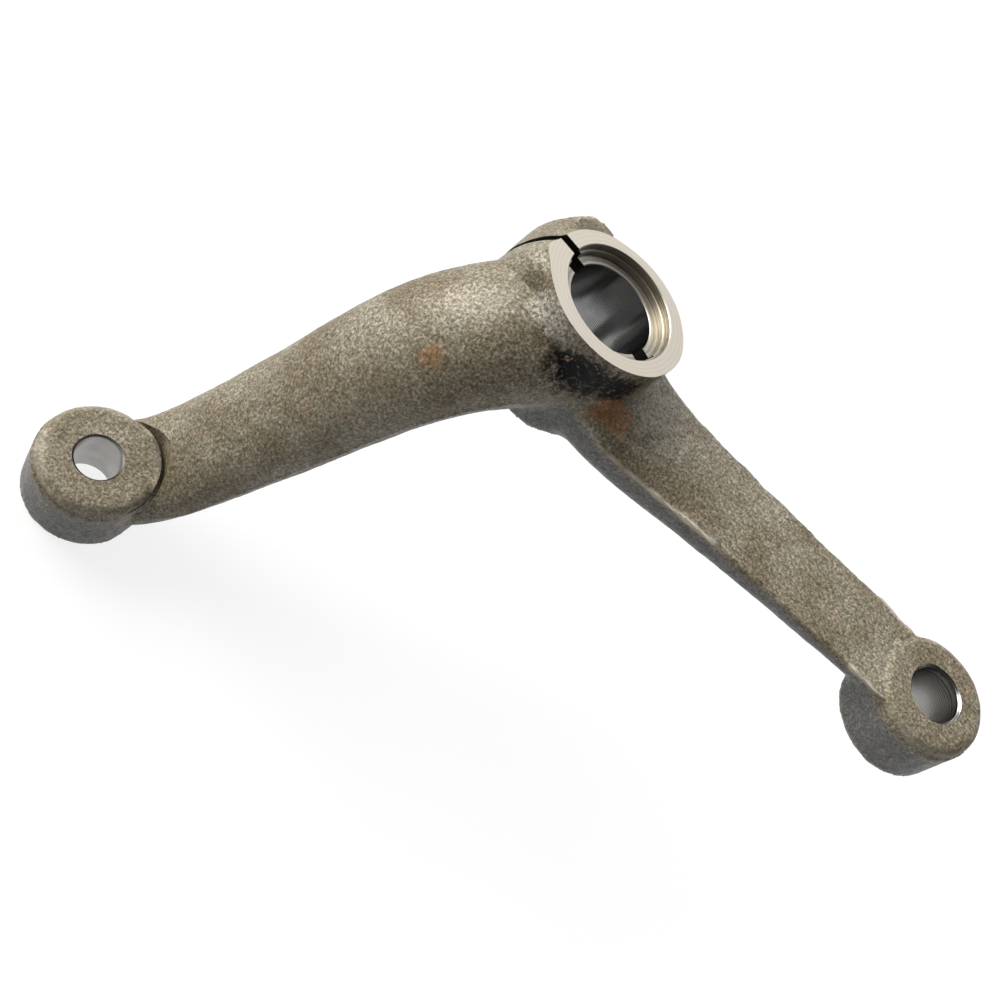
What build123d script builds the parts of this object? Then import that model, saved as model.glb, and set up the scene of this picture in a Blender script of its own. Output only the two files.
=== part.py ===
from build123d import *
import math
import os

# Forged steering arm: a split clamp hub with a flat arm and a dropped arm, all one solid.
# The origin lies on the bore axis, in the plane of the hub's lower rim.
# +Z leaves the hub through its machined face and +X runs along the flat arm.

# Hub, slightly oval as forged and a little off the bore's axis
bore_d = 31.75
hub_long_d = 53.4
hub_short_d = 50.3
hub_long_angle = 16.4
hub_offset = 0.9
hub_height = 43.0
hub_foot_chamfer = 1.2

# Machined recess in the hub's face, in two steps
recess_d = 41.0
recess_depth = 2.3
seat_d = 38.8
seat_depth = 4.4

# Keyways and the clamp slot
key_width = 6.1
key_depth = 3.8
key_angle = -15.0
slot_key_depth = 5.0
slot_key_angle = 178.0
slot_width = 3.5
slot_angle = 181.0

# Clamp lugs each side of the slot, rounded on their outer side
lug_reach = 34.6
lug_arc_r = 35.0
lug_crest_height = 20.0
lug_top = 41.0
free_lug_width = 21.5
root_lug_width = 18.0
lug_end_fillet = 7.0

# Forged block on the shoulder of the free lug
block_inner = 15.0
block_outer = 28.0
block_reach = 25.4
block_corner = 6.5
block_top = 40.0
block_depth = 16.0
block_fillet = 1.0

# Small flat that the facing cut leaves outside the rim
pad_r = 4.2
pad_reach = 25.0
pad_angle = -162.0
pad_depth = 6.0

# Pinch bolt across the slot, inset from the lugs' outermost side: clear in the free lug, tapped in the other
bolt_d = 10.0
bolt_clearance = 0.8
bolt_core_d = 8.8
bolt_inset = 8.0
bolt_height = 21.5
bolt_thread_depth = 20.0
spot_face_d = 20.0

# Ball joint bosses, both tilted the same way from the hub's axis
boss_d = 41.6
boss_thickness = 25.0
boss_top_fillet = 3.5
boss_foot_fillet = 2.0
boss_tilt = 10.1
boss_tilt_angle = -131.3
boss_clearance = 0.3
taper_small_d = 15.8
taper_large_d = 18.9
taper_break = 0.8

# Flat arm, out along +X, to the boss whose upper face has this reach and height
flat_length = 164.0
flat_boss_height = 38.0
flat_root_height = 18.6
flat_neck_step = 3.3
flat_root_width = 41.2
flat_neck_width = 31.0
flat_root_side = 7.0
flat_root_crown = 8.0
flat_neck_crown = 0.8
flat_root_depth = 12.2
flat_neck_depth = 9.0

# Sections of the flat arm, as shares of the way from the bore's axis to the boss. It runs level up to
# the level share, then climbs. A higher power narrows sooner.
flat_shares = (0.0, 0.17, 0.29, 0.43, 0.58, 0.71, 0.83, 0.95)
flat_level_share = 0.27
flat_width_power = 2.4
flat_crown_power = 4
flat_side_power = 1.5
flat_depth_power = 0.5

# Dropped arm, out and down to the lower boss
drop_angle = -129.3
drop_length = 113.5
drop_boss_height = -92.4
drop_root_height = 21.0
drop_root_width = 49.0
drop_neck_width = 36.8
drop_root_crown = 19.0
drop_neck_crown = 9.5
drop_root_depth = 16.5
drop_neck_depth = 10.8

# Sections of the dropped arm, each as shares of the way out and of the way down
drop_stations = ((0.0, 0.0), (0.28, 0.08), (0.44, 0.25), (0.55, 0.49), (0.67, 0.74), (0.79, 0.925), (0.92, 0.98))
drop_width_power = 1.3
drop_height_power = 1

# Band left round both arms where the flash was trimmed
flash_band = 1.4


def at_angle(angle, reach, height=0.0):
    turn = math.radians(angle)
    return Vector(reach * math.cos(turn), reach * math.sin(turn), height)


def boss_axis():
    tilt = math.radians(boss_tilt)
    return at_angle(boss_tilt_angle, math.sin(tilt), math.cos(tilt))


def level(height):
    return Plane.XY.offset(height)


def across_slot(start, reach, height):
    # Plane whose normal runs the way the pinch bolt goes in reverse, along +Y
    return Plane(origin=(-reach, start, height), x_dir=(1, 0, 0), z_dir=(0, -1, 0))


def blend(root, neck, share, power):
    return neck + (root - neck) * (1 - share) ** power


def forged_section(plane, half_width, crown, side, depth):
    # A crowned top, straight sides that start at the trimmed edge, and a rounded underside
    upper = EllipticalCenterArc((0, flash_band / 2), half_width, crown, 0, arc_size=180)
    lower = EllipticalCenterArc((0, flash_band / 2 - side), half_width, depth, 180, arc_size=180)
    outline = [upper, Line(upper @ 1, lower @ 0), lower, Line(lower @ 1, upper @ 0)]
    return plane * make_face(outline)


def hub():
    shift = Pos(0, -hub_offset) * Rot(0, 0, hub_long_angle)
    body = extrude(shift * Ellipse(hub_long_d / 2, hub_short_d / 2), hub_height)
    foot = body.edges().sort_by(Axis.Z)[0]
    return chamfer(foot, hub_foot_chamfer)


def lug(width, side):
    # The lug's outer side is an arc seen along Y, cut off at its top and level with the hub's foot
    arc_centre = Pos(lug_arc_r - lug_reach, lug_crest_height)
    band = Pos(-lug_reach / 2, lug_top / 2) * Rectangle(lug_reach, lug_top)
    profile = across_slot(0, 0, 0) * (arc_centre * Circle(lug_arc_r) & band)
    body = extrude(profile, -side * width)
    end = body.faces().sort_by(Axis.Y)[-1 if side > 0 else 0]
    outer = end.edges().sort_by(Axis.X)[0]
    return fillet(outer, lug_end_fillet)


def shoulder_block():
    length = block_outer - block_inner
    centre = Pos(-(block_inner + block_outer) / 2, block_reach / 2, block_top - block_depth / 2)
    body = centre * Box(length, block_reach, block_depth)
    corner = body.edges().filter_by(Axis.Z).group_by(Axis.X)[0].sort_by(Axis.Y)[-1]
    body = chamfer(corner, block_corner)
    top = body.faces().sort_by(Axis.Z)[-1]
    return fillet(top.edges(), block_fillet)


def face_pad():
    foot = at_angle(pad_angle, pad_reach)
    return extrude(level(hub_height) * Pos(foot.X, foot.Y) * Circle(pad_r), -pad_depth)


def boss_plane(angle, reach, height):
    return Plane(origin=at_angle(angle, reach, height), z_dir=boss_axis())


def boss(plane):
    body = extrude(plane * Circle(boss_d / 2), -boss_thickness)
    foot, top = body.edges().filter_by(GeomType.CIRCLE).sort_by(Axis.Z)
    body = fillet(top, boss_top_fillet)
    foot = body.edges().filter_by(GeomType.CIRCLE).sort_by(Axis.Z)[0]
    return fillet(foot, boss_foot_fillet)


def flat_arm():
    # The arm keeps its root section up to the second share, then tapers to the last one
    root_share, neck_share = flat_shares[1], flat_shares[-1]
    axis = boss_axis()
    across = Vector(0, axis.Z, -axis.Y)
    neck_height = flat_boss_height - flat_neck_step
    sections = []
    for share in flat_shares:
        taper = min(1.0, max(0.0, (share - root_share) / (neck_share - root_share)))
        climb = max(0.0, share - flat_level_share) / (neck_share - flat_level_share)
        height = flat_root_height + (neck_height - flat_root_height) * climb
        origin = (share * flat_length, hub_offset * (share - 1), height)
        plane = Plane(origin=origin, x_dir=across, z_dir=(1, 0, 0))
        half_width = blend(flat_root_width, flat_neck_width, taper, flat_width_power) / 2
        crown = blend(flat_root_crown, flat_neck_crown, taper, flat_crown_power)
        side = blend(flat_root_side, flash_band, taper, flat_side_power)
        depth = blend(flat_root_depth, flat_neck_depth, taper, flat_depth_power)
        sections.append(forged_section(plane, half_width, crown, side, depth))
    return loft(sections)


def drop_arm():
    outward = at_angle(drop_angle, 1)
    across = Vector(-outward.Y, outward.X, 0)
    end_height = drop_boss_height - boss_thickness / 2
    fall = drop_root_height - end_height
    points = [at_angle(drop_angle, out * drop_length, drop_root_height - down * fall)
              for out, down in drop_stations]
    path = Spline(points)
    sections = []
    for point, (out, down) in zip(points, drop_stations):
        plane = Plane(origin=point, x_dir=across, z_dir=path.tangent_at(path.param_at_point(point)))
        half_width = blend(drop_root_width, drop_neck_width, down, drop_width_power) / 2
        crown = blend(drop_root_crown, drop_neck_crown, down, drop_height_power)
        depth = blend(drop_root_depth, drop_neck_depth, down, drop_height_power)
        sections.append(forged_section(plane, half_width, crown, flash_band, depth))
    return loft(sections)


def boss_space(plane):
    # The boss's face is clear of the arm that comes down to it
    return extrude(plane * Circle(boss_d / 2 + boss_clearance), boss_thickness)


def taper_hole(plane, top_d, foot_d):
    foot_plane = plane.offset(-boss_thickness)
    change = (foot_d - top_d) * taper_break / boss_thickness
    body = loft([plane * Circle(top_d / 2), foot_plane * Circle(foot_d / 2)])
    body += broken_edge(plane, -taper_break, top_d, top_d + change)
    body += broken_edge(foot_plane, taper_break, foot_d, foot_d - change)
    return body


def broken_edge(plane, inward, mouth_d, inner_d):
    mouth = plane * Circle(mouth_d / 2 + taper_break)
    inner = plane.offset(inward) * Circle(inner_d / 2)
    return loft([inner, mouth])


def keyway(angle, depth):
    reach = bore_d / 2 + depth
    return extrude(Rot(0, 0, angle) * Pos(reach / 2, 0) * Rectangle(reach, key_width), hub_height)


def clamp_slot():
    reach = 2 * lug_reach
    return extrude(Rot(0, 0, slot_angle) * Pos(reach / 2, 0) * Rectangle(reach, slot_width), hub_height)


def bolt_hole():
    reach = lug_reach - bolt_inset
    start = across_slot(0, reach, bolt_height)
    seat = across_slot(free_lug_width, reach, bolt_height)
    body = extrude(start * Circle((bolt_d + bolt_clearance) / 2), -free_lug_width)
    body += extrude(start * Circle(bolt_core_d / 2), bolt_thread_depth)
    body += extrude(seat * Circle(spot_face_d / 2), -block_reach)
    return body


def steering_arm():
    flat_boss = boss_plane(0, flat_length, flat_boss_height)
    drop_boss = boss_plane(drop_angle, drop_length, drop_boss_height)
    body = hub() + lug(free_lug_width, 1) + lug(root_lug_width, -1)
    body += shoulder_block()
    body += face_pad()
    body += flat_arm() - boss_space(flat_boss)
    body += drop_arm() - boss_space(drop_boss)
    body += boss(flat_boss) + boss(drop_boss)
    face = level(hub_height)
    body -= extrude(Circle(bore_d / 2), hub_height, both=True)
    body -= extrude(face * Circle(recess_d / 2), -recess_depth)
    body -= extrude(face * Circle(seat_d / 2), -seat_depth)
    body -= keyway(key_angle, key_depth)
    body -= keyway(slot_key_angle, slot_key_depth)
    body -= clamp_slot()
    body -= bolt_hole()
    body -= taper_hole(flat_boss, taper_large_d, taper_small_d)
    body -= taper_hole(drop_boss, taper_small_d, taper_large_d)
    return body


os.makedirs("parts", exist_ok=True)
export_step(steering_arm(), "parts/steering_arm.step")
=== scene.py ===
import math

import bmesh
import bpy
from mathutils import Matrix, Vector, kdtree


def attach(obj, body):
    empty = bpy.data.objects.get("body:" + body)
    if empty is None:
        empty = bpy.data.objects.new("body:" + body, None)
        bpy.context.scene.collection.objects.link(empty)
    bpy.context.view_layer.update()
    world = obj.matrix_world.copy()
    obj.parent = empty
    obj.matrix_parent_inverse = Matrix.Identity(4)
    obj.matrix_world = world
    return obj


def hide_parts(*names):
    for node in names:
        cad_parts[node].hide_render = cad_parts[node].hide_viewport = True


# Steering arm: one steel forging, with a bored and faced clamp hub and two reamed bosses.
# Metres, in the frame of the CAD part: Z runs up the hub's bore, X runs along the flat arm.
# The part's sizes in the dictionaries are in mm, and its turns in degrees.

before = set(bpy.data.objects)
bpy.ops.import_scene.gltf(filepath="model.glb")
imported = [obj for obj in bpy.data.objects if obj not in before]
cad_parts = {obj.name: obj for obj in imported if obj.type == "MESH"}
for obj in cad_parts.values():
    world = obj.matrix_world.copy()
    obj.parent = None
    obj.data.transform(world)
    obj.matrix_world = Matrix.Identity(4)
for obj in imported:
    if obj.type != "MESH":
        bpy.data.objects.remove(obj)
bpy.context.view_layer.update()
mm = 0.001
print("frame loaded")


# small helpers for picking, shaping, joining and cutting

def pickNone():
    if bpy.context.mode != "OBJECT":
        bpy.ops.object.mode_set(mode="OBJECT")
    bpy.ops.object.select_all(action="DESELECT")


def pickOnly(piece):
    pickNone()
    piece.select_set(True)
    bpy.context.view_layer.objects.active = piece


def editAll(piece):
    # edit mode, with the whole mesh selected
    pickOnly(piece)
    bpy.ops.object.mode_set(mode="EDIT")
    bpy.ops.mesh.select_all(action="SELECT")


def newest(name):
    piece = bpy.context.active_object
    piece.name = name
    piece.data.name = name
    return piece


def settle(piece, place=None):
    # place, turn and scale go into the mesh
    if place is not None:
        piece.matrix_world = place
    pickOnly(piece)
    bpy.ops.object.transform_apply(location=True, rotation=True, scale=True)
    return piece


def along(point, direction):
    # puts a piece made up the Z axis at a point in mm, along a direction
    turn = Vector((0, 0, 1)).rotation_difference(Vector(direction))
    return Matrix.Translation(Vector(point) * mm) @ turn.to_matrix().to_4x4()


def turned(name, steps, sides=128):
    # steps are (radius, height) in mm from the bottom up; each one extrudes the top face
    pickNone()
    (r0, z0), (r1, z1) = steps[:2]
    bpy.ops.mesh.primitive_cone_add(
        vertices=sides, radius1=r0 * mm, radius2=r1 * mm, depth=(z1 - z0) * mm,
        location=(0, 0, (z0 + z1) / 2 * mm))
    piece = settle(newest(name))
    bpy.ops.object.mode_set(mode="EDIT")
    bpy.ops.mesh.select_mode(type="FACE")
    bpy.ops.mesh.select_all(action="DESELECT")
    shape = bmesh.from_edit_mesh(piece.data)
    topFace = max(shape.faces, key=lambda face: face.calc_center_median().z)
    topFace.select = True
    bmesh.update_edit_mesh(piece.data)
    for (r, z), (nextR, nextZ) in zip(steps[1:], steps[2:]):
        bpy.ops.mesh.extrude_region_move(TRANSFORM_OT_translate={"value": (0, 0, (nextZ - z) * mm)})
        bpy.ops.transform.resize(value=(nextR / r, nextR / r, 1))
    bpy.ops.object.mode_set(mode="OBJECT")
    return piece


def block(name, low, high, turn=0.0):
    # a box between two corners in mm, then turned about Z by degrees
    pickNone()
    bpy.ops.mesh.primitive_cube_add(size=1, location=[(a + b) / 2 * mm for a, b in zip(low, high)])
    piece = newest(name)
    piece.scale = [(b - a) * mm for a, b in zip(low, high)]
    settle(piece)
    piece.rotation_euler = (0, 0, math.radians(turn))
    return settle(piece)


def trim(piece, point, way, **settings):
    # cuts a piece along the plane through a point in mm, and closes it there
    editAll(piece)
    bpy.ops.mesh.bisect(plane_co=[c * mm for c in point], plane_no=way, use_fill=True, **settings)
    bpy.ops.object.mode_set(mode="OBJECT")
    return piece


def applyModifier(piece, kind, **settings):
    pickOnly(piece)
    modifier = piece.modifiers.new(kind.title(), kind)
    for key, value in settings.items():
        setattr(modifier, key, value)
    bpy.ops.object.modifier_apply(modifier=modifier.name)
    return piece


def cut(piece, cutter):
    applyModifier(piece, "BOOLEAN", operation="DIFFERENCE", solver="EXACT", object=cutter,
                  material_mode="TRANSFER")
    bpy.data.objects.remove(cutter)
    return piece


def join(pieces):
    pickNone()
    for other in pieces:
        other.select_set(True)
    bpy.context.view_layer.objects.active = pieces[0]
    bpy.ops.object.join()
    return pieces[0]


def linear(hexColour):
    # sRGB hex to the linear colour that the shaders want
    parts = [int(hexColour[i:i + 2], 16) / 255 for i in (1, 3, 5)]
    return tuple(p / 12.92 if p <= 0.04045 else ((p + 0.055) / 1.055) ** 2.4 for p in parts) + (1.0,)


def addNode(tree, kind, sockets=None, stops=None, **settings):
    # one shader node: a socket takes a value or (node, output), and stops are a ramp's colours
    node = tree.nodes.new(kind)
    for key, value in settings.items():
        setattr(node, key, value)
    for key, value in (sockets or {}).items():
        if isinstance(value, tuple) and isinstance(value[0], bpy.types.Node):
            tree.links.new(value[0].outputs[value[1]], node.inputs[key])
        else:
            node.inputs[key].default_value = value
    for count, (position, colour) in enumerate(stops or []):
        ramp = node.color_ramp.elements
        stop = ramp[count] if count < 2 else ramp.new(position)
        stop.position = position
        stop.color = linear(colour)
    return node


def newMaterial(name):
    material = bpy.data.materials.new(name)
    material.use_nodes = True
    material.node_tree.nodes.clear()
    return material, material.node_tree


# camera, where the photograph was taken from
cameraSet = {
    "place": (-0.0319, -0.3778, 0.3217),
    "right": (0.6547, 0.4765, 0.5868),
    "up": (-0.7471, 0.5258, 0.4066),
    "back": (-0.1148, -0.7046, 0.7003),
    "lens": 54.0, "sensor": 36.0, "nearest": 0.01,
}

cameraData = bpy.data.cameras.new("photoCamera")
cameraData.lens = cameraSet["lens"]
cameraData.sensor_width = cameraSet["sensor"]
cameraData.clip_start = cameraSet["nearest"]
camera = bpy.data.objects.new("photoCamera", cameraData)
bpy.context.scene.collection.objects.link(camera)
axes = Matrix((cameraSet["right"], cameraSet["up"], cameraSet["back"])).transposed()
camera.matrix_world = Matrix.Translation(cameraSet["place"]) @ axes.to_4x4()
bpy.context.scene.camera = camera
print("camera placed")


# Drop-forged steel, shot blasted: dull grey-brown scale, pebbled by the shot, that sparkles a little
# where the steel shows through. Outer edges are drawn lighter, partly worn by rubbing and partly a painted
# highlight, and inner corners are drawn dark as painted shade. Below the parting edge the colour is evener,
# darker and a colder grey: painted shade on the lower side. Rusted scale, drawn lighter than its own colour
# as painted light where the hub shades it, bare steel, a lighter patch of painted light on the flat arm's
# root and a dull, very dark patch of painted shade between the arms lie over it in patches with broken
# edges.
skinSet = {
    "grainMm": 0.95,                       # the shot marks are drawn a little coarser, so that they show
    "tones": [(0.33, "#544e42"), (0.45, "#847b68"), (0.55, "#a69e89"), (0.68, "#d9d2c1")],
    "blotchMm": 17.0,
    "tints": [(0.35, "#d0c8b8"), (0.65, "#ffffff")],
    # painted shade: the lower side below the parting edge drawn darker and a colder grey
    "shadedLowTones": [(0.33, "#484745"), (0.5, "#73726f"), (0.67, "#9d9c98")],
    "shadedLowFade": (0.4, 1.05), "shadedLowBlotch": 0.6,
    # lighter outer edges, partly worn and partly a painted highlight, then inner corners drawn dark as
    # painted shade
    # colour, the height in mm of its neighbours over a corner where it starts and is full, strength
    "corners": [("#dcd4c2", -0.03, -0.07, 0.8), ("#1f1c19", 0.015, 0.04, 0.85)],
    "glossMm": 2.4, "rough": (0.38, 0.6), "metallic": 0.15,
    "bumpMm": 0.3, "bumpStrength": 0.7,
}
patchSet = {
    # rusted scale, its colours drawn lighter than rust is, as painted light where the hub's shadow falls on
    # the flat arm's root
    "rust": [(0.3, "#9c6239"), (0.7, "#e2b07f")],
    "bare": [(0.38, "#6f6858"), (0.62, "#f4efe2")],
    # painted light: a lighter tone that lifts the hub's cast shadow off the flat arm's root
    "pale": [(0.33, "#8a8270"), (0.67, "#f2ead6")],
    # painted shade: a very dark tone for the shadow between the arms
    "black": [(0.3, "#0c0d0f"), (0.7, "#28282a")],
    # the painted-shade patches lose most of their specular shine, so the painted shade stays dark
    "shine": 0.5, "paintedShadeShine": 0.1,
    "speckMm": 3.2, "speckShare": 2.0, "fade": (1.2, 1.6),
    # colours, centre, radii, strength
    "patches": [
        # painted light on the flat arm's root, under the hub's shadow
        ("pale", (36.0, 0.0, 26.0), (24, 22, 12), 0.6),
        # painted shade in the corner between the arms, where the drop arm shades the hub
        ("black", (9.0, -24.5, 32.0), (25, 14, 13), 1.0),
        ("black", (20.0, -17.5, 33.0), (15, 12, 12), 1.0),
        # rusted root, drawn lighter as painted light under the hub's shadow
        ("rust", (23.5, -15.0, 23.5), (15, 10, 6), 0.9),
        ("rust", (-25.5, -48.0, 12.5), (5.5, 5.5, 5.5), 0.35),
        ("bare", (-12.0, -24.0, 38.5), (16, 8, 8), 0.7),
    ],
}


def forgedSteel():
    material, tree = newMaterial("forgedShotBlastedSteel")
    place = addNode(tree, "ShaderNodeTexCoord")
    grain = addNode(tree, "ShaderNodeTexNoise", {
        "Vector": (place, "Object"), "Scale": 1 / (skinSet["grainMm"] * mm), "Detail": 3.0,
        "Roughness": 0.75})
    blotch = addNode(tree, "ShaderNodeTexNoise", {
        "Vector": (place, "Object"), "Scale": 1 / (skinSet["blotchMm"] * mm), "Detail": 3.0})
    tone = addNode(tree, "ShaderNodeValToRGB", {"Fac": (grain, "Fac")}, stops=skinSet["tones"])
    tint = addNode(tree, "ShaderNodeValToRGB", {"Fac": (blotch, "Fac")}, stops=skinSet["tints"])
    colour = addNode(tree, "ShaderNodeMix", {0: 1.0, 6: (tone, "Color"), 7: (tint, "Color")},
                     data_type="RGBA", blend_type="MULTIPLY")

    # painted shade: the lower side below the parting edge is drawn in darker, colder tones, which start
    # unevenly
    low = addNode(tree, "ShaderNodeAttribute", attribute_name="lowerHalf")
    shadedLowTone = addNode(tree, "ShaderNodeValToRGB", {"Fac": (grain, "Fac")}, stops=skinSet["shadedLowTones"])
    uneven = addNode(tree, "ShaderNodeMath", {0: (blotch, "Fac"), 1: skinSet["shadedLowBlotch"], 2: (low, "Fac")},
                     operation="MULTIPLY_ADD")
    start, full = skinSet["shadedLowFade"]
    shadedLow = addNode(tree, "ShaderNodeMapRange", {"Value": (uneven, 0), "From Min": start, "From Max": full})
    colour = addNode(tree, "ShaderNodeMix", {0: (shadedLow, "Result"), 6: (colour, 2), 7: (shadedLowTone, "Color")},
                     data_type="RGBA")

    # patches, each a soft ball that a coarse noise breaks up
    speck = addNode(tree, "ShaderNodeTexNoise", {
        "Vector": (place, "Object"), "Scale": 1 / (patchSet["speckMm"] * mm), "Detail": 4.0,
        "Roughness": 0.7})
    start, full = patchSet["fade"]
    paintedShadeCover = None
    for which, centre, radii, strength in patchSet["patches"]:
        patch = addNode(tree, "ShaderNodeValToRGB", {"Fac": (grain, "Fac")}, stops=patchSet[which])
        near = addNode(tree, "ShaderNodeMapping", {
            "Vector": (place, "Object"), "Location": Vector(centre) * mm, "Scale": Vector(radii) * mm},
            vector_type="TEXTURE")
        ball = addNode(tree, "ShaderNodeTexGradient", {"Vector": (near, "Vector")},
                       gradient_type="SPHERICAL")
        broken = addNode(tree, "ShaderNodeMath", {
            0: (speck, "Fac"), 1: patchSet["speckShare"], 2: (ball, "Fac")}, operation="MULTIPLY_ADD")
        cover = addNode(tree, "ShaderNodeMapRange", {
            "Value": (broken, 0), "From Min": start, "From Max": full, "To Max": strength})
        colour = addNode(tree, "ShaderNodeMix", {0: (cover, "Result"), 6: (colour, 2), 7: (patch, "Color")},
                         data_type="RGBA")
        # painted shade: the very dark patches also lose most of their specular shine
        if which == "black":
            paintedShadeCover = addNode(tree, "ShaderNodeMath", {0: (cover, "Result"), 1: (paintedShadeCover, 0) if paintedShadeCover else 0.0},
                           operation="MAXIMUM")
    shine = addNode(tree, "ShaderNodeMapRange", {
        "Value": (paintedShadeCover, 0), "To Min": patchSet["shine"], "To Max": patchSet["paintedShadeShine"]})

    # outer edges drawn lighter, partly worn and partly a painted highlight, and inner corners drawn dark as
    # painted shade
    corner = addNode(tree, "ShaderNodeAttribute", attribute_name="cornerHeight")
    for paintedEdgeCornerColour, start, full, strength in skinSet["corners"]:
        cover = addNode(tree, "ShaderNodeMapRange", {
            "Value": (corner, "Fac"), "From Min": start, "From Max": full, "To Max": strength})
        colour = addNode(tree, "ShaderNodeMix", {0: (cover, "Result"), 6: (colour, 2), 7: linear(paintedEdgeCornerColour)},
                         data_type="RGBA")

    sheen = addNode(tree, "ShaderNodeTexNoise", {
        "Vector": (place, "Object"), "Scale": 1 / (skinSet["glossMm"] * mm), "Detail": 2.0})
    smoothest, roughest = skinSet["rough"]
    rough = addNode(tree, "ShaderNodeMapRange", {
        "Value": (sheen, "Fac"), "From Min": 0.3, "From Max": 0.7, "To Min": smoothest, "To Max": roughest})
    bump = addNode(tree, "ShaderNodeBump", {
        "Height": (grain, "Fac"), "Strength": skinSet["bumpStrength"], "Distance": skinSet["bumpMm"] * mm})
    shader = addNode(tree, "ShaderNodeBsdfPrincipled", {
        "Base Color": (colour, 2), "Roughness": (rough, "Result"), "Normal": (bump, "Normal"),
        "Specular IOR Level": (shine, "Result"), "Metallic": skinSet["metallic"]})
    addNode(tree, "ShaderNodeOutputMaterial", {"Surface": (shader, "BSDF")})
    return material


# Machined steel: bright, with the tool's fine rings about the axis that it turned on
machinedSet = {
    "faced": {
        "colours": [(0.25, "#e0d5c2"), (0.75, "#e7dccb")], "rough": 0.36, "ringMm": 0.7, "bumpMm": 0.001},
    "stepped": {
        "colours": [(0.3, "#a09a8e"), (0.7, "#c3bdaf")], "rough": 0.42, "ringMm": 0.8, "bumpMm": 0.004},
    # bored steel drawn darker than it is: painted shade and a painted dark reflection down the bore
    "bored": {
        "colours": [(0.3, "#606266"), (0.7, "#9a9995")], "rough": 0.2, "ringMm": 0.5, "bumpMm": 0.003},
    "reamed": {
        "colours": [(0.3, "#77787a"), (0.7, "#b3b0a9")], "rough": 0.3, "ringMm": 0.45, "bumpMm": 0.003},
    "broached": {
        "colours": [(0.3, "#3a3733"), (0.7, "#5b564e")], "rough": 0.45, "ringMm": 0.4, "bumpMm": 0.01},
    "wobble": 1.5, "softMm": 6.0,
}


def machinedSteel(name, centre=(0, 0, 0), direction=(0, 0, 1)):
    # rings of light and dark along and about the tool's axis, broken up by a soft noise
    wanted = machinedSet[name]
    material, tree = newMaterial(name + "Steel")
    place = addNode(tree, "ShaderNodeTexCoord")
    turn = along((0, 0, 0), direction).to_euler()
    local = addNode(tree, "ShaderNodeMapping", {
        "Vector": (place, "Object"), "Location": Vector(centre) * mm, "Rotation": turn},
        vector_type="TEXTURE")
    ringScale = math.pi / 10 / (wanted["ringMm"] * mm)      # at scale 1, a ring is pi / 10 wide
    rings = addNode(tree, "ShaderNodeTexWave", {
        "Vector": (local, "Vector"), "Scale": ringScale, "Distortion": machinedSet["wobble"], "Detail": 2.0},
        wave_type="RINGS", rings_direction="SPHERICAL")
    soft = addNode(tree, "ShaderNodeTexNoise", {
        "Vector": (place, "Object"), "Scale": 1 / (machinedSet["softMm"] * mm), "Detail": 3.0})
    both = addNode(tree, "ShaderNodeMath", {0: (rings, "Fac"), 1: (soft, "Fac")}, operation="ADD")
    mean = addNode(tree, "ShaderNodeMath", {0: (both, 0), 1: 0.5}, operation="MULTIPLY")
    colour = addNode(tree, "ShaderNodeValToRGB", {"Fac": (mean, 0)}, stops=wanted["colours"])
    bump = addNode(tree, "ShaderNodeBump", {
        "Height": (rings, "Fac"), "Strength": 1.0, "Distance": wanted["bumpMm"] * mm})
    shader = addNode(tree, "ShaderNodeBsdfPrincipled", {
        "Base Color": (colour, "Color"), "Normal": (bump, "Normal"), "Roughness": wanted["rough"],
        "Metallic": 1.0})
    addNode(tree, "ShaderNodeOutputMaterial", {"Surface": (shader, "BSDF")})
    return material


# the two bosses, by the middle of each upper face
bosses = {"flat": (164.0, 0.0, 38.0), "drop": (-71.89, -87.83, -92.4)}
bossAxis = (-0.1158, -0.1317, 0.9845)
bossSet = {
    "thickness": 25.0, "radius": 20.8,
    "holes": {"flat": (7.9, 9.45), "drop": (9.45, 7.9)},     # radius at the foot and at the top
    "edge": 0.8, "over": 2.0,              # the broken edge, and how far the reamer runs past the faces
    "lip": 0.55, "lipDepth": 4.6,          # the top die left each boss a little smaller down to here
    "lipFrom": 16.0, "lipSpare": (1.0, 2.0),       # from this radius, to past the outer one and the face
    "armWay": {"flat": (-1, 0, 0), "drop": (0.63, 0.77, 0)},
    "lipFade": (0.9, 1.6),                 # its share at right angles to the arm, and less toward the arm
}
forged = forgedSteel()
faced = machinedSteel("faced")
stepped = machinedSteel("stepped")
bored = machinedSteel("bored")
broached = machinedSteel("broached")
reamed = {which: machinedSteel("reamed", centre, bossAxis) for which, centre in bosses.items()}
print("materials made")


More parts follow.
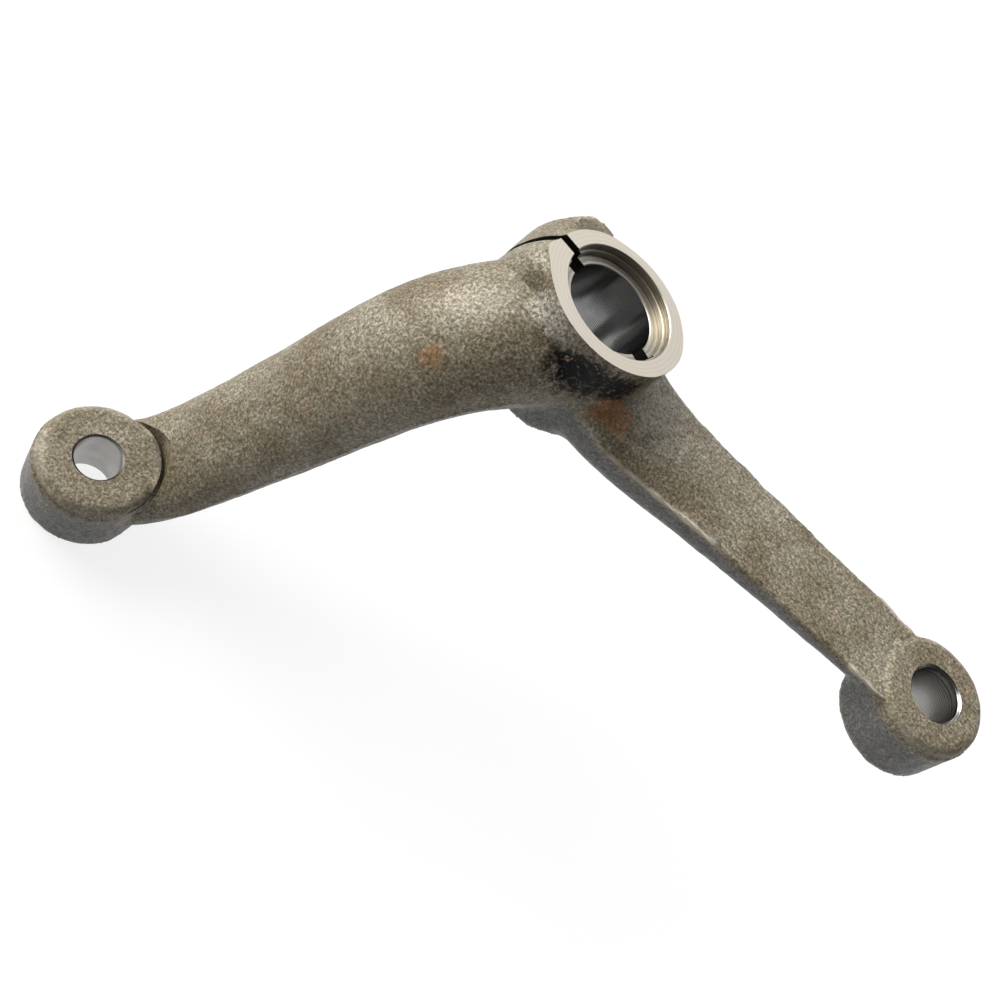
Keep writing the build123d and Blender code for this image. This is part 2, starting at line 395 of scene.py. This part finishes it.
# the forging: the CAD solid with its holes filled, remeshed so that its parts run into each other
forgingSet = {
    "voxel": 0.85, "evenRounds": 2, "faceHeight": 43.0,
    "faceLevel": 0.99, "faceNear": 0.02,   # how level, and how near the cut, a face is that counts as faced
    "crease": 0.05,                        # how far a vertex lies below its neighbours in an inner corner
    "edge": 0.045,                         # and above them on an outer edge
    "filletReach": 8.0, "filletRounds": 70,
    "rimReach": 2.5, "rimZone": (37.0, 40.0),      # shorter above this height and inside this radius
    "bossReach": 2.5, "bossZone": 30.0,            # and this near a boss
    # pattern size and depth of what the flash, the dies and the scale leave
    "flash": (5.0, 0.6), "undulation": (14.0, 0.5), "pebble": (2.6, 0.2),
    "smoothAngle": 40.0,
}
fillSet = {
    "spare": 3.0, "under": 0.1,            # past the facing cut, and short of the lugs' skin
    "boreRadius": 21.2, "boreFoot": 0.4,
    "rimLong": 53.4, "rimShort": 50.3, "rimTurn": 16.4, "rimShift": -0.9, "rimFoot": 30.0,
    "padPlace": (-23.78, -7.73), "padRadius": 4.2, "padFoot": 39.0,
    "lugArc": 35.0, "lugCentre": (0.4, -0.45, 20.0), "lugTop": 41.0, "lugFoot": 0.3,
    "slotHalf": 1.9, "slotInner": -15.0,
    "cornerLow": (25.0, -1.7, 27.0), "cornerHigh": (34.1, 4.6, 39.8), "cornerTurn": 135, "cornerRound": 1.2,
    "boltRadius": 5.8, "boltDepth": 20.3,
    "bossRadius": 10.8, "bossUnder": 0.02,
}
boltSet = {
    "place": (-26.6, 0, 21.5), "way": (0, 1, 0),   # from the slot's middle toward the bolt's head
    "clear": 5.4, "core": 4.4, "depth": 20.0,
    "seat": 21.5, "seatRadius": 10.0, "end": 32.0,
}
boltPlace = along(boltSet["place"], boltSet["way"])

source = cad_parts["steering_arm"]
arm = bpy.data.objects.new("steeringArm", source.data.copy())
arm.data.materials.clear()
bpy.context.scene.collection.objects.link(arm)
editAll(arm)
bpy.ops.mesh.remove_doubles(threshold=1e-6)
bpy.ops.mesh.normals_make_consistent(inside=False)
bpy.ops.object.mode_set(mode="OBJECT")

# the bore, the rim and its small flat, up past the facing cut
fills = [arm]
fillTop = forgingSet["faceHeight"] + fillSet["spare"]
radius = fillSet["boreRadius"]
fills.append(turned("boreFill", [(radius, fillSet["boreFoot"]), (radius, fillTop)]))
rim = turned("rimFill", [(1.0, fillSet["rimFoot"]), (1.0, fillTop)])
rim.scale = (fillSet["rimLong"] / 2, fillSet["rimShort"] / 2, 1)
rim.rotation_euler = (0, 0, math.radians(fillSet["rimTurn"]))
rim.location = (0, fillSet["rimShift"] * mm, 0)
fills.append(settle(rim))
padX, padY = fillSet["padPlace"]
radius = fillSet["padRadius"]
pad = turned("padFill", [(radius, fillSet["padFoot"]), (radius, fillTop)], sides=48)
pad.location = (padX * mm, padY * mm, 0)
fills.append(settle(pad))

# the slot, to just under the lugs' surface
radius = fillSet["lugArc"] - fillSet["under"]
slotFill = turned("slotFill", [(radius, -fillSet["slotHalf"]), (radius, fillSet["slotHalf"])])
settle(slotFill, along(fillSet["lugCentre"], boltSet["way"]))
trim(slotFill, (0, 0, fillSet["lugTop"] - fillSet["under"]), (0, 0, 1), clear_outer=True)
trim(slotFill, (0, 0, fillSet["lugFoot"]), (0, 0, -1), clear_outer=True)
trim(slotFill, (fillSet["slotInner"], 0, 0), (1, 0, 0), clear_outer=True)
fills.append(slotFill)

# keeps the corner of the free lug's block crisp, which remeshing would round off
corner = block("cornerFill", fillSet["cornerLow"], fillSet["cornerHigh"], fillSet["cornerTurn"])
fills.append(applyModifier(corner, "BEVEL", width=fillSet["cornerRound"] * mm, segments=3))

# the bolt's hole and the bosses' holes
radius = fillSet["boltRadius"]
boltFill = turned("boltFill", [
    (radius, -fillSet["boltDepth"]), (radius, boltSet["seat"] - fillSet["under"])], sides=48)
fills.append(settle(boltFill, boltPlace))
radius = fillSet["bossRadius"]
for which, centre in bosses.items():
    bossFill = turned(which + "Fill", [
        (radius, fillSet["bossUnder"] - bossSet["thickness"]), (radius, -fillSet["bossUnder"])], sides=64)
    fills.append(settle(bossFill, along(centre, bossAxis)))

# the parting edge: a bead of trimmed flash along both sides of both arms
partingSet = {
    "bead": 1.1, "beadEnd": 0.3, "inset": 0.55,
    # shares of the way out
    "flatStations": (0.08, 0.12, 0.17, 0.29, 0.43, 0.58, 0.69, 0.78, 0.85),
    "flatRoot": 0.17, "flatTaper": 0.78, "flatLevel": 0.27, "flatClimb": 0.68,
    "flatPower": 2.4, "dropPower": 1.3,    # a higher power narrows the arm sooner
    "flatRise": 1.0, "rootRise": 6.3,      # over the middle of the side, and more toward the hub
    "flatLength": 164.0, "flatHeights": (18.6, 34.7), "flatWidths": (20.6, 15.5), "hubShift": 0.9,
    "flatAcross": (0, 0.991, 0.133), "flatUp": (0, -0.133, 0.991),
    # shares of the way out and of the way down
    "dropStations": ((0.1, 0.01), (0.28, 0.08), (0.44, 0.25), (0.55, 0.49), (0.67, 0.74), (0.79, 0.925),
                     (0.9, 0.975)),
    "dropLength": 113.5, "dropAngle": -129.3, "dropHeights": (21.0, -104.9), "dropWidths": (24.5, 18.4),
    "lowShadeFadeMm": 3.0, "lowShadeFrom": 0.2,      # painted lower-side shade sets in over this depth, past this share of it
}


def flatEdge(share, side):
    taper = min(1.0, max(0.0, (share - partingSet["flatRoot"]) / partingSet["flatTaper"]))
    rootHalf, neckHalf = partingSet["flatWidths"]
    rootHeight, neckHeight = partingSet["flatHeights"]
    half = neckHalf + (rootHalf - neckHalf) * (1 - taper) ** partingSet["flatPower"]
    climb = max(0.0, share - partingSet["flatLevel"]) / partingSet["flatClimb"]
    height = rootHeight + (neckHeight - rootHeight) * climb + partingSet["flatRise"]
    height += partingSet["rootRise"] * max(0.0, 1 - share / partingSet["flatRoot"])
    middle = Vector((share * partingSet["flatLength"], partingSet["hubShift"] * (share - 1), height))
    return middle + side * (half - partingSet["inset"]) * Vector(partingSet["flatAcross"])


def dropEdge(out, down, side):
    turn = math.radians(partingSet["dropAngle"])
    outward = Vector((math.cos(turn), math.sin(turn), 0))
    rootHalf, neckHalf = partingSet["dropWidths"]
    rootHeight, neckHeight = partingSet["dropHeights"]
    half = neckHalf + (rootHalf - neckHalf) * (1 - down) ** partingSet["dropPower"]
    middle = out * partingSet["dropLength"] * outward
    middle.z = rootHeight + (neckHeight - rootHeight) * down
    return middle + side * (half - partingSet["inset"]) * Vector((-outward.y, outward.x, 0))


def bead(name, points):
    # a round bead on one smooth line through the points, thin at its ends
    pickNone()
    line = bpy.data.curves.new(name, "CURVE")
    line.dimensions = "3D"
    line.bevel_depth = partingSet["bead"] * mm
    line.bevel_resolution = 3
    line.use_fill_caps = True
    spline = line.splines.new("BEZIER")
    spline.bezier_points.add(len(points) - 1)
    for knot, point in zip(spline.bezier_points, points):
        knot.co = point * mm
        knot.handle_left_type = knot.handle_right_type = "AUTO"
    spline.bezier_points[0].radius = spline.bezier_points[-1].radius = partingSet["beadEnd"]
    piece = bpy.data.objects.new(name, line)
    bpy.context.scene.collection.objects.link(piece)
    pickOnly(piece)
    bpy.ops.object.convert(target="MESH")
    return bpy.context.active_object


# the beads, and points all along the parting edge, each with the way that the top die came from
partingPoints = []
stations = partingSet["dropStations"]
for side in (-1, 1):
    fills.append(bead("flatFlash", [flatEdge(share, side) for share in partingSet["flatStations"]]))
    fills.append(bead("dropFlash", [dropEdge(out, down, side) for out, down in stations]))
    for percent in range(8, 89, 2):
        partingPoints.append((flatEdge(percent / 100, side), Vector(partingSet["flatUp"])))
    for (out, down), (nextOut, nextDown) in zip(stations, stations[1:]):
        start = dropEdge(out, down, side)
        end = dropEdge(nextOut, nextDown, side)
        across = dropEdge(out, down, 1) - dropEdge(out, down, -1)
        up = (end - start).cross(across).normalized()
        partingPoints.extend((start.lerp(end, step / 10), up) for step in range(10))
for centre in bosses.values():
    for degrees in range(0, 360, 10):
        turn = math.radians(degrees)
        rimPoint = Vector((math.cos(turn), math.sin(turn), 0)) * bossSet["radius"]
        rimPoint.z = -bossSet["lipDepth"]
        rimPoint = along(centre, bossAxis) @ (rimPoint * mm) / mm
        partingPoints.append((rimPoint, Vector(bossAxis)))

arm = join(fills)
applyModifier(arm, "REMESH", mode="VOXEL", voxel_size=forgingSet["voxel"] * mm, adaptivity=0.0)
applyModifier(arm, "SMOOTH", factor=0.5, iterations=forgingSet["evenRounds"])
print("forging remeshed:", len(arm.data.polygons), "faces")


# inner corners get the fillets of a forging, outer ones stay as the dies met them

def heightOverNeighbours(mesh):
    # mean height of each vertex's neighbours over it, along its normal, in mm: an inner corner's is positive
    height = [0.0] * len(mesh.vertices)
    count = [0] * len(mesh.vertices)
    for link in mesh.edges:
        a, b = (mesh.vertices[i] for i in link.vertices)
        across = b.co - a.co
        height[a.index] += across.dot(a.normal) / mm
        height[b.index] -= across.dot(b.normal) / mm
        count[a.index] += 1
        count[b.index] += 1
    return [h / max(1, c) for h, c in zip(height, count)]


def spread(mesh, values):
    # each vertex's value, evened out with its neighbours'
    total = list(values)
    count = [1] * len(values)
    for link in mesh.edges:
        a, b = link.vertices
        total[a] += values[b]
        total[b] += values[a]
        count[a] += 1
        count[b] += 1
    return [t / c for t, c in zip(total, count)]


def searchTree(points):
    # finds the nearest of some points; what it gives is a place, an index and a distance
    tree = kdtree.KDTree(len(points))
    for count, point in enumerate(points):
        tree.insert(point, count)
    tree.balance()
    return tree


def paint(piece, name, weights):
    # a vertex group, its weights in tenths
    group = piece.vertex_groups.new(name=name)
    for step in range(1, 11):
        members = [i for i, weight in enumerate(weights) if round(weight * 10) == step]
        group.add(members, step / 10, "REPLACE")


def reachAt(point):
    # how far a fillet runs from its corner: short at the rim and round the bosses
    zoneFoot, zoneRadius = forgingSet["rimZone"]
    if point.z > zoneFoot * mm and point.xy.length < zoneRadius * mm:
        return forgingSet["rimReach"]
    for centre in bosses.values():
        if (point - Vector(centre) * mm).length < forgingSet["bossZone"] * mm:
            return forgingSet["bossReach"]
    return forgingSet["filletReach"]


def roughen(name, **settings):
    # pushes the skin out and in by a cloud pattern
    size, depth = forgingSet[name]
    clouds = bpy.data.textures.new(name, "CLOUDS")
    clouds.noise_scale = size * mm
    applyModifier(arm, "DISPLACE", texture=clouds, strength=depth * mm, texture_coords="LOCAL", **settings)


heights = heightOverNeighbours(arm.data)
creases = [vertex.co for vertex, height in zip(arm.data.vertices, heights) if height > forgingSet["crease"]]
creaseTree = searchTree(creases)
weights = []
for vertex in arm.data.vertices:
    gap = creaseTree.find(vertex.co)[2] / mm
    weights.append(max(0.0, 1 - gap / reachAt(vertex.co)) ** 0.5)
paint(arm, "innerCorners", weights)
paint(arm, "outerEdges", [min(1.0, max(0.0, -height / forgingSet["edge"] - 1)) for height in heights])
applyModifier(arm, "SMOOTH", factor=0.5, iterations=forgingSet["filletRounds"], vertex_group="innerCorners")
print("inner corners filleted:", len(creases), "crease vertices")
cornerHeights = spread(arm.data, spread(arm.data, heightOverNeighbours(arm.data)))

# the trimmed flash stands a little proud along the parting edges
roughen("flash", mid_level=0.0, vertex_group="outerEdges")

# the top die is a little smaller than the bottom one, which leaves a lip round each boss
lipBeyond, lipOver = bossSet["lipSpare"]
lipMost, lipSlope = bossSet["lipFade"]
for which, centre in bosses.items():
    inBoss = along(centre, bossAxis).inverted()
    fromBoss = inBoss.inverted()
    away = (inBoss.to_3x3() @ Vector(bossSet["armWay"][which])).xy.normalized()
    for vertex in arm.data.vertices:
        spot = inBoss @ vertex.co / mm
        isLevel = -bossSet["lipDepth"] < spot.z < lipOver
        if isLevel and bossSet["lipFrom"] < spot.xy.length < bossSet["radius"] + lipBeyond:
            share = min(1.0, max(0.0, lipMost - lipSlope * spot.xy.normalized().dot(away)))
            spot.xy *= 1 - share * bossSet["lip"] / spot.xy.length
            vertex.co = fromBoss @ (spot * mm)

# small hammer-like undulation and uneven scale
roughen("undulation", mid_level=0.5)
roughen("pebble", mid_level=0.5)
cornerTree = searchTree([vertex.co for vertex in arm.data.vertices])

# the hub is faced flat, square to its bore
arm.data.materials.append(forged)
arm.data.materials.append(faced)
trim(arm, (0, 0, forgingSet["faceHeight"]), (0, 0, 1), clear_outer=True, threshold=1e-6)
editAll(arm)
bpy.ops.mesh.normals_make_consistent(inside=False)
bpy.ops.object.mode_set(mode="OBJECT")
print("hub faced")

# the bore with its two-step recess
boreSet = {
    "steps": [(17.6, -2.0), (15.875, -0.3), (15.875, 38.3), (16.2, 38.6), (19.4, 38.6), (19.4, 40.5),
              (19.6, 40.7), (20.5, 40.7), (20.5, 42.7), (20.85, 43.05), (20.85, 47.0)],
    "recessFrom": 38.35,
}
bore = turned("boreCut", boreSet["steps"], sides=192)
bore.data.materials.append(bored)
bore.data.materials.append(stepped)
for face in bore.data.polygons:
    if face.center.z > boreSet["recessFrom"] * mm:
        face.material_index = 1
cut(arm, bore)

# the clamp slot and the keyways
broachSet = {
    "inner": 8.0, "foot": -1.0,
    # name, width, reach, top and turn
    "cuts": [
        ("slotCut", 3.5, 60.0, 50.0, 181.0),
        ("keywayCut", 6.1, 19.66, 41.5, -15.0),
        ("slotKeyCut", 6.1, 20.9, 41.5, 178.0),
    ],
}
for name, width, reach, height, turn in broachSet["cuts"]:
    innerCorner = (broachSet["inner"], -width / 2, broachSet["foot"])
    cutter = block(name, innerCorner, (reach, width / 2, height), turn)
    cutter.data.materials.append(broached)
    cut(arm, cutter)

# the reamed taper holes, wide at the flat arm's top and at the drop arm's foot
edge = bossSet["edge"]
over = bossSet["over"]
foot = -bossSet["thickness"]
for which, (footRadius, topRadius) in bossSet["holes"].items():
    taper = turned(which + "Taper", [
        (footRadius + edge + over, foot - over), (footRadius, foot + edge),
        (topRadius, -edge), (topRadius + edge + over, over)])
    taper.data.materials.append(reamed[which])
    cut(arm, settle(taper, along(bosses[which], bossAxis)))

# the pinch bolt's hole: tapped side, clear side and spot face
bolt = turned("boltCut", [
    (boltSet["core"], -boltSet["depth"]), (boltSet["core"], 0),
    (boltSet["clear"], 0), (boltSet["clear"], boltSet["seat"]),
    (boltSet["seatRadius"], boltSet["seat"]), (boltSet["seatRadius"], boltSet["end"])], sides=64)
bolt.data.materials.append(broached)
cut(arm, settle(bolt, boltPlace))

# the drop boss stands in a narrow step where the arm comes down to it
grooveSet = {
    "inner": 20.3, "outer": 21.9, "foot": -3.2, "top": 9.0, "spare": 1.0,
    "keep": 11.5, "armWay": (0.77, 0.64, 0),
}
low, high = grooveSet["foot"], grooveSet["top"]
spare = grooveSet["spare"]
groove = turned("grooveCut", [(grooveSet["outer"], low), (grooveSet["outer"], high)])
cut(groove, turned("grooveCore", [(grooveSet["inner"], low - spare), (grooveSet["inner"], high + spare)]))
settle(groove, along(bosses["drop"], bossAxis))
keepFrom = Vector(bosses["drop"]) + Vector(grooveSet["armWay"]) * grooveSet["keep"]
trim(groove, keepFrom, grooveSet["armWay"], clear_inner=True)
groove.data.materials.append(forged)
cut(arm, groove)

# for the skin's colours: which vertices lie below the parting edge, for the painted lower-side shade, and
# which are on a corner, for the lighter edges and the painted corner shade
partingTree = searchTree([point * mm for point, up in partingPoints])
lowerHalf = []
cornerHeight = []
for vertex in arm.data.vertices:
    point, up = partingPoints[partingTree.find(vertex.co)[1]]
    above = (vertex.co / mm - point).dot(up)
    lowerHalf.append(min(1.0, max(0.0, -partingSet["lowShadeFrom"] - above / partingSet["lowShadeFadeMm"])))
    cornerHeight.append(cornerHeights[cornerTree.find(vertex.co)[1]])
for name, values in (("lowerHalf", lowerHalf), ("cornerHeight", cornerHeight)):
    arm.data.attributes.new(name, "FLOAT", "POINT").data.foreach_set("value", values)

# smooth all over, but the faced rim stays flat and bright
pickOnly(arm)
bpy.ops.object.shade_smooth_by_angle(angle=math.radians(forgingSet["smoothAngle"]))
rimFrom = (forgingSet["faceHeight"] - forgingSet["faceNear"]) * mm
for face in arm.data.polygons:
    if face.normal.z > forgingSet["faceLevel"] and face.center.z > rimFrom:
        face.material_index = 1
        face.use_smooth = False
arm.vertex_groups.clear()
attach(arm, "root")
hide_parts("steering_arm")
print("arm cut and finished:", len(arm.data.polygons), "faces")


# floor, background and light
stageSet = {
    "floorSize": 30.0, "wallHeight": 4.0,          # metres
    "floorHeight": -120.9, "floorColour": "#828283", "floorGlow": 0.84,
    "lampFrom": (-0.84, -0.02, 0.50), "lampPower": 3.75, "lampWidth": 45, "lampColour": (1.0, 0.98, 0.94),
    "skyFrom": (-0.25, 0.64, 0.72), "skyFade": (0.6, 0.97), "skyLow": 0.05, "skyHigh": 1.15,
    "skyColour": (0.93, 0.96, 1.0, 1.0),
}
# the paper turns up at the floor's edge, far behind the part on every side
pickNone()
bpy.ops.mesh.primitive_plane_add(
    size=stageSet["floorSize"], location=(0, 0, stageSet["floorHeight"] * mm))
floor = newest("floor")
bpy.ops.object.mode_set(mode="EDIT")
bpy.ops.mesh.select_mode(type="EDGE")
bpy.ops.mesh.select_all(action="SELECT")
bpy.ops.mesh.extrude_edges_move(TRANSFORM_OT_translate={"value": (0, 0, stageSet["wallHeight"])})
bpy.ops.object.mode_set(mode="OBJECT")

# paper that the camera and the reflections see as white, and that still takes the part's shadow
paper, tree = newMaterial("paperFloor")
ray = addNode(tree, "ShaderNodeLightPath")
seen = addNode(tree, "ShaderNodeMath", {0: (ray, "Is Camera Ray"), 1: (ray, "Is Glossy Ray")},
               operation="ADD")
seen = addNode(tree, "ShaderNodeMath", {0: (seen, 0), 1: (ray, "Is Transmission Ray")}, operation="ADD")
lift = addNode(tree, "ShaderNodeMath", {0: (seen, 0), 1: stageSet["floorGlow"]}, operation="MULTIPLY")
matte = addNode(tree, "ShaderNodeBsdfDiffuse", {"Color": linear(stageSet["floorColour"])})
glow = addNode(tree, "ShaderNodeEmission", {"Strength": (lift, 0)})
both = addNode(tree, "ShaderNodeAddShader", {0: (matte, "BSDF"), 1: (glow, "Emission")})
addNode(tree, "ShaderNodeOutputMaterial", {"Surface": (both, "Shader")})
floor.data.materials.append(paper)

# a studio with one bright side, above and behind the part, and the rest dim
world = bpy.data.worlds.new("studio")
bpy.context.scene.world = world
world.use_nodes = True
tree = world.node_tree
tree.nodes.clear()
way = addNode(tree, "ShaderNodeTexCoord")
facing = addNode(tree, "ShaderNodeVectorMath", {
    0: (way, "Generated"), 1: Vector(stageSet["skyFrom"]).normalized()}, operation="DOT_PRODUCT")
start, full = stageSet["skyFade"]
level = addNode(tree, "ShaderNodeMapRange", {
    "Value": (facing, "Value"), "From Min": start, "From Max": full,
    "To Min": stageSet["skyLow"], "To Max": stageSet["skyHigh"]})
sky = addNode(tree, "ShaderNodeBackground", {
    "Strength": (level, "Result"), "Color": stageSet["skyColour"]})
addNode(tree, "ShaderNodeOutputWorld", {"Surface": (sky, "Background")})

# one broad soft lamp, high on the side away from the flat arm
lampData = bpy.data.lights.new("softLamp", "SUN")
lampData.energy = stageSet["lampPower"]
lampData.color = stageSet["lampColour"]
lampData.angle = math.radians(stageSet["lampWidth"])
lamp = bpy.data.objects.new("softLamp", lampData)
lamp.rotation_euler = Vector(stageSet["lampFrom"]).to_track_quat("Z", "Y").to_euler()
bpy.context.scene.collection.objects.link(lamp)

bpy.context.scene.view_settings.view_transform = "Standard"
print("scene ready")
